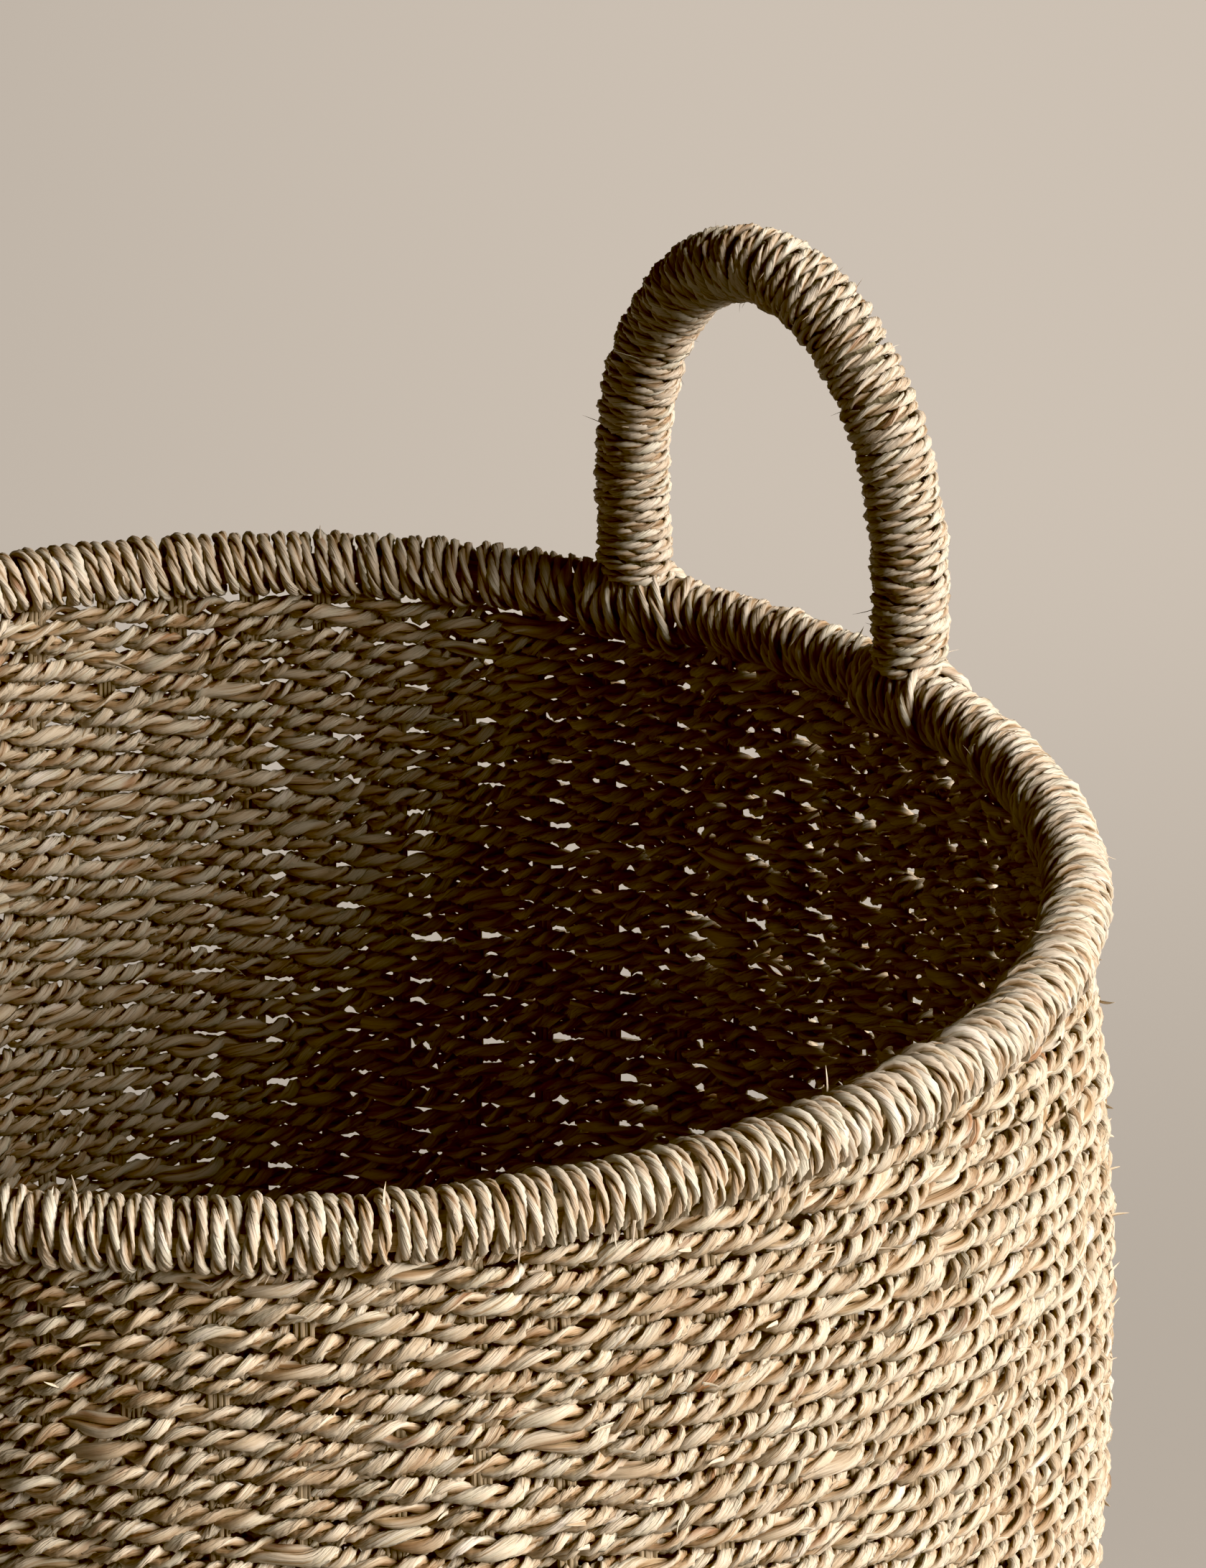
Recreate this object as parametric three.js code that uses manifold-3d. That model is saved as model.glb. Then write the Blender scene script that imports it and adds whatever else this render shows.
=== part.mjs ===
// Round seagrass storage basket with two upright handles.
// Millimetres, +Z up, origin on the ground under the centre of the base, handles on +X and -X.
import * as THREE from "three";
import { mergeVertices } from "three/addons/utils/BufferGeometryUtils.js";
import Module from "manifold-3d";

const wasm = await Module();
wasm.setup();

// ---- Driving dimensions ----

const RIM_RADIUS = 240; // to the outside of the wrapped rim
const RIM_TOP = 400; // height of the wrapped rim above the ground
const RIM_TUBE = 10.15; // radius of the wrapped rim's round section
const TWINE = 3.6; // thickness of the wrapping twine
const GAP = 0.3; // clearance between neighbouring pieces

const BULGE_RADIUS = 244.5; // the widest outer radius of the wall
const BULGE_HEIGHT = 243; // where the wall is widest
const WALL_THICKNESS = 11;
const WALL_STRETCHES = 4; // straight stretches that stand for the wall's curve
const CORNER = 12; // height of the bevelled foot of the wall

const BASE_RADIUS = 203;
const BASE_THICKNESS = 12;

const STAKES_PER_QUARTER = 16;
const STAKE_WIDTH = 5;
const STAKE_THICKNESS = 2.6;
const LOWER_LAYER = 4; // height of the stakes that cross the base along X
const UPPER_LAYER = 7.8; // height of the stakes that cross the base along Y
const CROSSING = 64; // half the side of the square where the stakes run parallel
const TURN_UP_RADIUS = 205; // where a stake starts to turn up into the wall

const HOOP_INSET = 2.7; // from the middle of the rim to the near side of each hoop
const HOOP_WIDTH = 2.5;
const HOOP_HEIGHT = 5.6;
const WRAP_SLOT = 3.2; // half the slot under the rim's wrap, where the stakes come in

const HANDLE_HALF_ANGLE = THREE.MathUtils.degToRad(13.75); // from the handle's middle to a leg
const HANDLE_RISE = 114; // from the rim's top to the middle of the handle's section at its top
const HANDLE_LEG = 29; // straight part of each leg above the rim's top
const HANDLE_LEAN = 6; // how far the handle's top leans in over the basket
const HANDLE_RADIUS = 11.5;
const PADDING_RADIUS = 7.5;
const WIRE_RADIUS = 1.8;

const BINDING_LENGTH = 30; // straight, along the rim
const BINDING_CLEARANCE = 1.2; // room for the rim's curve in that length
const BINDING_THICKNESS = 2.4;

const SIDES = 48; // round bodies
const TUBE_SIDES = 10; // round sections of the handles

// ---- Sizes that follow ----

const RIM_MIDDLE_RADIUS = RIM_RADIUS - RIM_TUBE;
const RIM_MIDDLE_HEIGHT = RIM_TOP - RIM_TUBE;
const WALL_TOP = RIM_MIDDLE_HEIGHT - RIM_TUBE - GAP;
const STAKES = 4 * STAKES_PER_QUARTER;
const STAKE_STEP = (2 * Math.PI) / STAKES;
const STAKE_OFFSET = STAKE_STEP / 2; // turns all the stakes, so that each handle leg stands between two
const MOUTH_RADIUS = RIM_MIDDLE_RADIUS + WALL_THICKNESS / 2;

// Outer radius of the wall at a height: a parabola through the bulge and the mouth.
function wallRadius(height) {
  const fall = (BULGE_RADIUS - MOUTH_RADIUS) / (WALL_TOP - BULGE_HEIGHT) ** 2;
  return BULGE_RADIUS - fall * (height - BULGE_HEIGHT) ** 2;
}

function wallMiddle(height) {
  return wallRadius(height) - WALL_THICKNESS / 2;
}

// Heights of the rings between the wall's straight stretches, from the bevelled foot to the rim.
const wallHeights = [];
for (let i = 0; i <= WALL_STRETCHES; i += 1) {
  wallHeights.push(THREE.MathUtils.lerp(CORNER, WALL_TOP, i / WALL_STRETCHES));
}

// ---- Materials ----

function finish(color, roughness, metalness = 0) {
  return new THREE.MeshStandardMaterial({ color, roughness, metalness });
}

const seagrass = () => finish("#b7a27c", 0.75);
const stakeGrass = () => finish("#9d8b62", 0.8);
const twine = () => finish("#ad9b78", 0.72);
const padding = () => finish("#8f7d56", 0.9);
const cane = () => finish("#b08d5c", 0.6);
const steel = () => finish("#77736c", 0.4, 0.9);

// ---- Helpers ----

function polygonSolid(geometry) {
  const bare = geometry.clone();
  bare.deleteAttribute("normal");
  bare.deleteAttribute("uv");
  const merged = mergeVertices(bare);
  const mesh = new wasm.Mesh({
    numProp: 3,
    vertProperties: new Float32Array(merged.attributes.position.array),
    triVerts: new Uint32Array(merged.index.array),
  });
  return new wasm.Manifold(mesh);
}

function cut(geometry, cutters) {
  const whole = polygonSolid(geometry);
  const removed = wasm.Manifold.union(cutters.map(polygonSolid));
  const mesh = whole.subtract(removed).getMesh();
  const result = new THREE.BufferGeometry();
  result.setAttribute("position", new THREE.BufferAttribute(mesh.vertProperties, 3));
  result.setIndex(new THREE.BufferAttribute(mesh.triVerts, 1));
  return result;
}

// A body of revolution about Z. The profile holds [radius, height] pairs, anticlockwise.
function turned(profile) {
  const points = profile.map(([radius, height]) => new THREE.Vector2(radius, height));
  return new THREE.LatheGeometry(points, SIDES).rotateX(Math.PI / 2);
}

function closed(profile) {
  return [...profile, profile[0]];
}

// Points on an arc in a profile, from one angle to another, in degrees from the outward direction.
function arc(radius, height, size, from, to, stretches) {
  const points = [];
  for (let i = 0; i <= stretches; i += 1) {
    const angle = THREE.MathUtils.degToRad(THREE.MathUtils.lerp(from, to, i / stretches));
    points.push([radius + size * Math.cos(angle), height + size * Math.sin(angle)]);
  }
  return points;
}

// A path of straight stretches, which a sweep follows with one step for each stretch.
class Route extends THREE.Curve {
  constructor(points) {
    super();
    this.points = points;
  }

  getPointAt(share) {
    return this.points[Math.round(share * this.stretches)].clone();
  }

  getTangentAt(share) {
    const here = Math.round(share * this.stretches);
    const before = Math.max(here - 1, 0);
    const after = Math.min(here + 1, this.stretches);
    const middle = this.points[here];
    const arriving = middle.clone().sub(this.points[before]).normalize();
    const leaving = this.points[after].clone().sub(middle).normalize();
    return arriving.add(leaving).normalize();
  }

  get stretches() {
    return this.points.length - 1;
  }
}

function swept(section, route) {
  return new THREE.ExtrudeGeometry(section, {
    steps: route.stretches,
    extrudePath: route,
    curveSegments: TUBE_SIDES / 2,
  });
}

function disc(radius) {
  return new THREE.Shape().absarc(0, 0, radius, 0, 2 * Math.PI);
}

function ring(outer, inner) {
  const shape = disc(outer);
  shape.holes.push(new THREE.Path().absarc(0, 0, inner, 0, 2 * Math.PI, true));
  return shape;
}

// ---- Stakes: 32 flat bundles of grass, each up one side, across the base and up the other ----

// Half a stake in its own upright plane, as [distance from the axis, height], from the top down.
function stakeHalf(layer, turn) {
  const foot = layer + CORNER - 1;
  const half = [[RIM_MIDDLE_RADIUS, RIM_MIDDLE_HEIGHT + HOOP_HEIGHT / 2]];
  for (const height of wallHeights.slice(1, -1).reverse()) {
    half.push([wallMiddle(height), height]);
  }
  half.push([wallMiddle(foot), foot]);
  half.push([TURN_UP_RADIUS, layer]);
  half.push([CROSSING / Math.cos(turn), layer]);
  return half;
}

// The stake is drawn with its first half in the XZ plane, so its place is a turn about Z.
function stakeRoute(layer, turn) {
  const half = stakeHalf(layer, turn);
  const near = half.map(([distance, height]) => new THREE.Vector3(distance, 0, height));
  const across = Math.PI - 2 * turn;
  const far = half.map(([distance, height]) => {
    return new THREE.Vector3(distance * Math.cos(across), distance * Math.sin(across), height);
  });
  return new Route([...near, ...far.reverse()]);
}

function stakeGeometry(layer, turn, extra) {
  const width = STAKE_WIDTH / 2 + extra;
  const thickness = STAKE_THICKNESS / 2 + extra;
  const section = new THREE.Shape([
    new THREE.Vector2(-width, -thickness),
    new THREE.Vector2(width, -thickness),
    new THREE.Vector2(width, thickness),
    new THREE.Vector2(-width, thickness),
  ]);
  return swept(section, stakeRoute(layer, turn));
}

const stakes = [];
for (const [set, layer, quarterTurn] of [["x", LOWER_LAYER, 0], ["y", UPPER_LAYER, Math.PI / 2]]) {
  for (let i = 0; i < STAKES_PER_QUARTER; i += 1) {
    const turn = (i - (STAKES_PER_QUARTER - 1) / 2) * STAKE_STEP;
    const placed = turn + quarterTurn + STAKE_OFFSET;
    stakes.push({
      name: `stake_${set}_${String(i + 1).padStart(2, "0")}`,
      shape: stakeGeometry(layer, turn, 0),
      channel: stakeGeometry(layer, turn, GAP).rotateZ(placed),
      turn: placed,
    });
  }
}

// ---- Base and wall: the weave, with a channel for each stake ----

const channels = stakes.map((stake) => stake.channel);

function baseWeave() {
  return cut(turned([
    [0, 0],
    [BASE_RADIUS, 0],
    [BASE_RADIUS, BASE_THICKNESS],
    [0, BASE_THICKNESS],
  ]), channels);
}

function wallWeave() {
  const inside = BASE_RADIUS + GAP;
  const outer = wallHeights.map((height) => [wallRadius(height), height]);
  const inner = wallHeights.slice(1).reverse().map((height) => {
    return [wallRadius(height) - WALL_THICKNESS, height];
  });
  const bevel = BASE_THICKNESS + 8;
  return cut(turned(closed([
    [inside, 0],
    [wallRadius(CORNER) - CORNER, 0],
    ...outer,
    ...inner,
    [wallRadius(bevel) - WALL_THICKNESS, bevel],
    [inside, BASE_THICKNESS],
  ])), channels);
}

// ---- Rim: two cane hoops, one on each side of the stakes' ends, bound by a close wrap of twine ----

function hoop(side) {
  const near = RIM_MIDDLE_RADIUS + side * HOOP_INSET;
  const away = near + side * HOOP_WIDTH;
  const low = RIM_MIDDLE_HEIGHT - HOOP_HEIGHT / 2;
  const high = low + HOOP_HEIGHT;
  const small = Math.min(near, away);
  const large = Math.max(near, away);
  return turned(closed([[small, low], [large, low], [large, high], [small, high]]));
}

function slotAngle(size) {
  return THREE.MathUtils.radToDeg(Math.asin(WRAP_SLOT / size));
}

function rimWrap() {
  const inside = RIM_TUBE - TWINE;
  const outerFrom = slotAngle(RIM_TUBE) - 90;
  const innerFrom = slotAngle(inside) - 90;
  return turned(closed([
    ...arc(RIM_MIDDLE_RADIUS, RIM_MIDDLE_HEIGHT, RIM_TUBE, outerFrom, 180 - outerFrom, 8),
    ...arc(RIM_MIDDLE_RADIUS, RIM_MIDDLE_HEIGHT, inside, 180 - innerFrom, innerFrom, 7),
  ]));
}

// The space that a leg's wrap and padding leave for the rim they stand on.
function rimRoom() {
  const size = RIM_TUBE + 2 * GAP;
  return turned(closed(arc(RIM_MIDDLE_RADIUS, RIM_MIDDLE_HEIGHT, size, 0, 337.5, 15)));
}

// ---- Handles: a wire arch, grass padding around it and a close wrap of twine ----

const LEG_X = RIM_MIDDLE_RADIUS * Math.cos(HANDLE_HALF_ANGLE);
const LEG_Y = RIM_MIDDLE_RADIUS * Math.sin(HANDLE_HALF_ANGLE);
const ARCH_STRETCHES = 12;

// A point on the middle of the arch, which leans in from the rim's middle up to its top.
function archPoint(along, height) {
  const share = (height - RIM_MIDDLE_HEIGHT) / (RIM_TOP + HANDLE_RISE - RIM_MIDDLE_HEIGHT);
  return new THREE.Vector3(LEG_X - HANDLE_LEAN * share, along, height);
}

// The middle of the arch: two straight legs from a foot height, joined by half an ellipse.
function archRoute(foot) {
  const shoulder = RIM_TOP + HANDLE_LEG;
  const points = [archPoint(-LEG_Y, foot)];
  for (let i = 0; i <= ARCH_STRETCHES; i += 1) {
    const angle = Math.PI * (i / ARCH_STRETCHES);
    const along = -LEG_Y * Math.cos(angle);
    const up = (HANDLE_RISE - HANDLE_LEG) * Math.sin(angle);
    points.push(archPoint(along, shoulder + up));
  }
  points.push(archPoint(LEG_Y, foot));
  return new Route(points);
}

const wireFoot = RIM_MIDDLE_HEIGHT - 2;
const wrapFoot = RIM_MIDDLE_HEIGHT + 3;
const wireRoom = swept(disc(WIRE_RADIUS + GAP), archRoute(wireFoot - 2));
const handleRoom = swept(disc(HANDLE_RADIUS + GAP), archRoute(RIM_MIDDLE_HEIGHT));

function handleWire() {
  return swept(disc(WIRE_RADIUS), archRoute(wireFoot));
}

function handlePadding() {
  return cut(swept(ring(PADDING_RADIUS, WIRE_RADIUS + GAP), archRoute(wrapFoot)), [rimRoom()]);
}

function handleWrap() {
  return cut(swept(ring(HANDLE_RADIUS, PADDING_RADIUS + GAP), archRoute(wrapFoot)), [rimRoom()]);
}

// A few turns of twine around the rim at a leg's foot, open below for the wall.
function binding(end) {
  const inside = RIM_TUBE + BINDING_CLEARANCE;
  const outside = inside + BINDING_THICKNESS;
  const section = new THREE.Shape([
    ...arc(0, 0, outside, -58, 238, 14),
    ...arc(0, 0, inside, 238, -58, 14),
  ].map(([across, up]) => new THREE.Vector2(across, up)));
  const shape = new THREE.ExtrudeGeometry(section, { depth: BINDING_LENGTH, bevelEnabled: false });
  shape.translate(0, 0, -BINDING_LENGTH / 2);
  shape.rotateX(Math.PI / 2);
  shape.translate(RIM_MIDDLE_RADIUS, 0, RIM_MIDDLE_HEIGHT);
  shape.rotateZ(end * HANDLE_HALF_ANGLE);
  return cut(shape, [handleRoom]);
}

// ---- Assembly ----

const basket = new THREE.Group();

function add(name, geometry, material, turn = 0) {
  const mesh = new THREE.Mesh(geometry, material);
  mesh.name = name;
  mesh.rotation.z = turn;
  basket.add(mesh);
}

add("base_weave", baseWeave(), seagrass());
add("wall_weave", wallWeave(), seagrass());
for (const stake of stakes) {
  add(stake.name, stake.shape, stakeGrass(), stake.turn);
}

add("rim_hoop_inner", hoop(-1), cane());
add("rim_hoop_outer", hoop(1), cane());
const oppositeWireRoom = wireRoom.clone().rotateZ(Math.PI);
add("rim_wrap", cut(rimWrap(), [wireRoom, oppositeWireRoom]), twine());

for (const [side, turn] of [["right", 0], ["left", Math.PI]]) {
  add(`handle_${side}_wire`, handleWire(), steel(), turn);
  add(`handle_${side}_padding`, handlePadding(), padding(), turn);
  add(`handle_${side}_wrap`, handleWrap(), twine(), turn);
  add(`handle_${side}_binding_front`, binding(-1), twine(), turn);
  add(`handle_${side}_binding_back`, binding(1), twine(), turn);
}

export default basket;
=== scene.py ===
# Looks for a round seagrass storage basket with two upright handles.
# Every rope, twine and stake of the weave is made here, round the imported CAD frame, in metres.
import math

import bpy
import numpy as np
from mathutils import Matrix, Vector


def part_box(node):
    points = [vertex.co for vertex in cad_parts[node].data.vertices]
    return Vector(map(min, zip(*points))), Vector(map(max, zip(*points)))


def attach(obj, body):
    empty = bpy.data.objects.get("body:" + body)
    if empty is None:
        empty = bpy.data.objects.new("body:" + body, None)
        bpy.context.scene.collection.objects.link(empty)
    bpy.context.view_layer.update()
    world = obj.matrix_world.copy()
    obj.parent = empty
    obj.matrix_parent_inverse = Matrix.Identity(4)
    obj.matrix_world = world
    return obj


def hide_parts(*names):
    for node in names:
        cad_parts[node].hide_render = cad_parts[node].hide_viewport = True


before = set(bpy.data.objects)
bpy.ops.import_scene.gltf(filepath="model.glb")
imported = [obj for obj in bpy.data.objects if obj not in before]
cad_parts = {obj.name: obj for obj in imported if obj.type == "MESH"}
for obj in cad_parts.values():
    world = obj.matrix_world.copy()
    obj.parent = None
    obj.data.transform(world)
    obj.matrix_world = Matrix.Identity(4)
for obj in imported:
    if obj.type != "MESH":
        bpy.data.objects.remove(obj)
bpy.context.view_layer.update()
random = np.random.default_rng(7)

MM = 0.001
TURN = 2 * math.pi
UP = np.array([0.0, 0.0, 1.0])

# ---- Sizes, from the frame where it has them ----

RIM_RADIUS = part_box("rim_wrap")[1].x
RIM_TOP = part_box("rim_wrap")[1].z
RIM_TUBE = 10.15 * MM
RIM_MIDDLE = RIM_RADIUS - RIM_TUBE
RIM_HEIGHT = RIM_TOP - RIM_TUBE

WALL_THICKNESS = 11 * MM
WALL_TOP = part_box("wall_weave")[1].z
BULGE_RADIUS = 244.5 * MM
BULGE_HEIGHT = 243 * MM
MOUTH_RADIUS = RIM_MIDDLE + WALL_THICKNESS / 2 - 1.2 * MM
FOOT_RADIUS = 216 * MM

BASE_MIDDLE = 7.4 * MM
CORNER_RADIUS = 16 * MM
CROSSING = 64 * MM

STAKES_PER_SET = 16
STAKES = 4 * STAKES_PER_SET
STAKE_STEP = TURN / STAKES
STAKE_OFFSET = STAKE_STEP / 2
SPLIT_RADIUS = 124 * MM

HANDLE_ANGLE = math.radians(13.75)
LEG_X = RIM_MIDDLE * math.cos(HANDLE_ANGLE)
LEG_Y = RIM_MIDDLE * math.sin(HANDLE_ANGLE)
HANDLE_TUBE = 11.5 * MM
HANDLE_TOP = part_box("handle_right_wrap")[1].z - HANDLE_TUBE
SHOULDER = RIM_TOP + 29 * MM
HANDLE_LEAN = 6 * MM

# ---- Helpers: slow random change along a strand, and tubes gathered into one mesh ----


def wander(count, length, reach):
    """Smooth random values along a strand, about one unit either way, that change over the given reach."""
    knots = max(4, round(length / reach))
    values = random.normal(0, 1, knots)
    place = np.arange(count) / count * knots
    knot = place.astype(int)
    part = place - knot
    ease = part * part * (3 - 2 * part)
    return values[knot % knots] * (1 - ease) + values[(knot + 1) % knots] * ease


def unit(vectors):
    return vectors / np.linalg.norm(vectors, axis=-1, keepdims=True)


def dot(a, b):
    return np.sum(a * b, axis=-1, keepdims=True)


def column(values):
    return np.asarray(values, float).reshape(-1, 1)


def around(angle):
    """Outward and sideways directions in the ground plane at each angle."""
    cos, sin, none = np.cos(angle), np.sin(angle), np.zeros_like(angle)
    return np.stack([cos, sin, none], -1), np.stack([-sin, cos, none], -1)


def directions(path, closed):
    if closed:
        return unit(np.roll(path, -1, 0) - np.roll(path, 1, 0))
    return unit(np.gradient(path, axis=0))


def path_length(path, closed):
    steps = np.linalg.norm(np.diff(path, axis=0), axis=1).sum()
    return steps + (np.linalg.norm(path[0] - path[-1]) if closed else 0)


class Strands:
    """Tubes gathered into one mesh, with the place along and round each fibre kept for the materials."""

    GRAIN_LENGTH = 14 * MM
    GRAIN_WIDTH = 0.42 * MM
    PLY_REACH = 13 * MM

    def __init__(self, sides):
        self.sides = sides
        self.points = []
        self.grain = []
        self.grain_w = []
        self.strand = []
        self.crevice_shade = []
        self.loops = []
        self.totals = []
        self.count = 0

    def tube(self, centre, across, out, half_width, half_depth, closed, core=None, reach=1.0):
        """One fibre bundle. Points within reach of the core get painted crevice shade, a darker tone where
        the plies shade each other.
        """
        rings = len(centre)
        length = path_length(centre, closed)
        side = np.arange(self.sides) / self.sides * TURN
        lobes = self.lobes(rings, length, side)
        width = column(half_width) * np.ones((rings, 1))
        depth = column(half_depth) * np.ones((rings, 1))
        offset = (width * np.sin(side) * lobes)[..., None] * across[:, None]
        offset = offset + (depth * np.cos(side) * lobes)[..., None] * out[:, None]
        points = centre[:, None] + offset
        points[..., 2] = np.maximum(points[..., 2], 0)  # the ground presses the underside flat
        self.points.append(points.reshape(-1, 3))
        if core is None:
            self.crevice_shade.append(np.zeros(rings * self.sides))
        else:
            away = np.linalg.norm(points - core[:, None], axis=-1)
            self.crevice_shade.append(1 - np.clip(away / reach, 0, 1).ravel())
        self.mark(rings, length, side, width, depth, closed)
        self.faces(rings, closed)

    def lobes(self, rings, length, side):
        """A leaf folded along itself: two and three soft corners that turn slowly along the strand."""
        two = column(wander(rings, length, 25 * MM))
        three = column(wander(rings, length, 18 * MM))
        return 1 + 0.08 * np.cos(2 * side + two) + 0.11 * np.cos(3 * side + 2 * three)

    def mark(self, rings, length, side, width, depth, closed):
        strand = random.uniform()
        along = np.arange(rings) / rings * length / self.GRAIN_LENGTH
        if closed:
            radius = length / self.GRAIN_LENGTH / TURN
            first, second = radius * np.cos(along / radius), radius * np.sin(along / radius)
        else:
            first, second = along, np.zeros(rings)
        grain = np.empty((rings, self.sides, 3))
        grain[..., 0] = column(first) + 40 * strand
        grain[..., 1] = column(second)
        grain[..., 2] = width * np.sin(side) / self.GRAIN_WIDTH
        self.grain.append(grain.reshape(-1, 3))
        self.grain_w.append((depth * np.cos(side) / self.GRAIN_WIDTH + 90 * strand).ravel())
        self.strand.append(np.full(rings * self.sides, strand))

    def faces(self, rings, closed):
        ring = np.arange(rings if closed else rings - 1)
        after = (ring + 1) % rings
        side = np.arange(self.sides)
        beside = (side + 1) % self.sides
        corners = np.stack([
            ring[:, None] * self.sides + side,
            after[:, None] * self.sides + side,
            after[:, None] * self.sides + beside,
            ring[:, None] * self.sides + beside,
        ], -1).reshape(-1, 4)
        self.loops.append((corners + self.count).ravel())
        self.totals.append(np.full(len(corners), 4))
        if not closed:
            last = (rings - 1) * self.sides
            self.loops.append(side + self.count)
            self.loops.append(side[::-1] + last + self.count)
            self.totals.append(np.full(2, self.sides))
        self.count += rings * self.sides

    def rope(self, path, out, phase, plies, size, closed, squash=(1, 1)):
        """Plies twisted round a path. size is the plies' offset, half width and half depth."""
        offset, half_width, half_depth = size
        rings = len(path)
        length = path_length(path, closed)
        along = directions(path, closed)
        out = unit(out - dot(out, along) * along)
        across = np.cross(out, along)
        for ply in range(plies):
            angle = phase + ply * TURN / plies
            cos, sin = column(np.cos(angle)), column(np.sin(angle))
            facing = cos * out + sin * across
            beside = -sin * out + cos * across
            away = column(offset * (1 + 0.24 * wander(rings, length, self.PLY_REACH)))
            centre = path + away * (cos * out * squash[0] + sin * across * column(squash[1]))
            wide = half_width * np.clip(1 + 0.27 * wander(rings, length, self.PLY_REACH), 0.5, 1.4)
            deep = half_depth * np.clip(1 + 0.18 * wander(rings, length, self.PLY_REACH), 0.6, 1.4)
            # The rope's path is the core for the painted crevice shade between its plies.
            self.tube(centre, beside, facing, wide, deep, closed, path, offset + half_depth)

    def loose_end(self, start, along, away, length, half_width):
        """A broken end or a hair that leaves its rope at a slant, tapers and stays off the ground."""
        share = np.linspace(0, 1, 6)
        path = start + along * column(length * share) + away * column(0.5 * length * share**1.6)
        path[:, 2] = np.maximum(path[:, 2], 2 * half_width)
        heading = directions(path, False)
        out = unit(away - dot(away, heading) * heading)
        taper = 1 - 0.88 * share**2
        self.tube(path, np.cross(out, heading), out, half_width * taper, 0.3 * half_width * taper, False)

    def fray(self, path, out, ends, surface, length, half_width, inside=0.3):
        """Loose ends at random places along a rope. The inside share of them is on its inner side."""
        for place in random.integers(1, len(path) - 4, ends):
            side = -1 if random.uniform() < inside else 1
            heading = unit(path[place + 2] - path[place]) * random.choice([-1, 1])
            away = unit(out[place] * side + random.normal(0, 0.35, 3))
            start = path[place] + out[place] * side * surface
            self.loose_end(start, heading, away, length * random.uniform(0.6, 1.4), half_width)

    def build(self, name, material, replaced):
        mesh = bpy.data.meshes.new(name)
        points = np.concatenate(self.points)
        loops = np.concatenate(self.loops).astype(np.int32)
        totals = np.concatenate(self.totals)
        mesh.vertices.add(len(points))
        mesh.vertices.foreach_set("co", points.astype(np.float32).ravel())
        mesh.loops.add(len(loops))
        mesh.loops.foreach_set("vertex_index", loops)
        mesh.polygons.add(len(totals))
        starts = np.concatenate([[0], np.cumsum(totals)[:-1]]).astype(np.int32)
        mesh.polygons.foreach_set("loop_start", starts)
        mesh.update(calc_edges=True)
        mesh.shade_smooth()
        grain = mesh.attributes.new("grain", "FLOAT_VECTOR", "POINT")
        grain.data.foreach_set("vector", np.concatenate(self.grain).astype(np.float32).ravel())
        for key, values in (("grain_w", self.grain_w), ("strand", self.strand), ("crevice_shade", self.crevice_shade)):
            layer = mesh.attributes.new(key, "FLOAT", "POINT")
            layer.data.foreach_set("value", np.concatenate(values).astype(np.float32))
        mesh.materials.append(material)
        piece = bpy.data.objects.new(name, mesh)
        bpy.context.scene.collection.objects.link(piece)
        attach(piece, "root")
        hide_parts(*replaced)
        return piece


# ---- Materials ----


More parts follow.
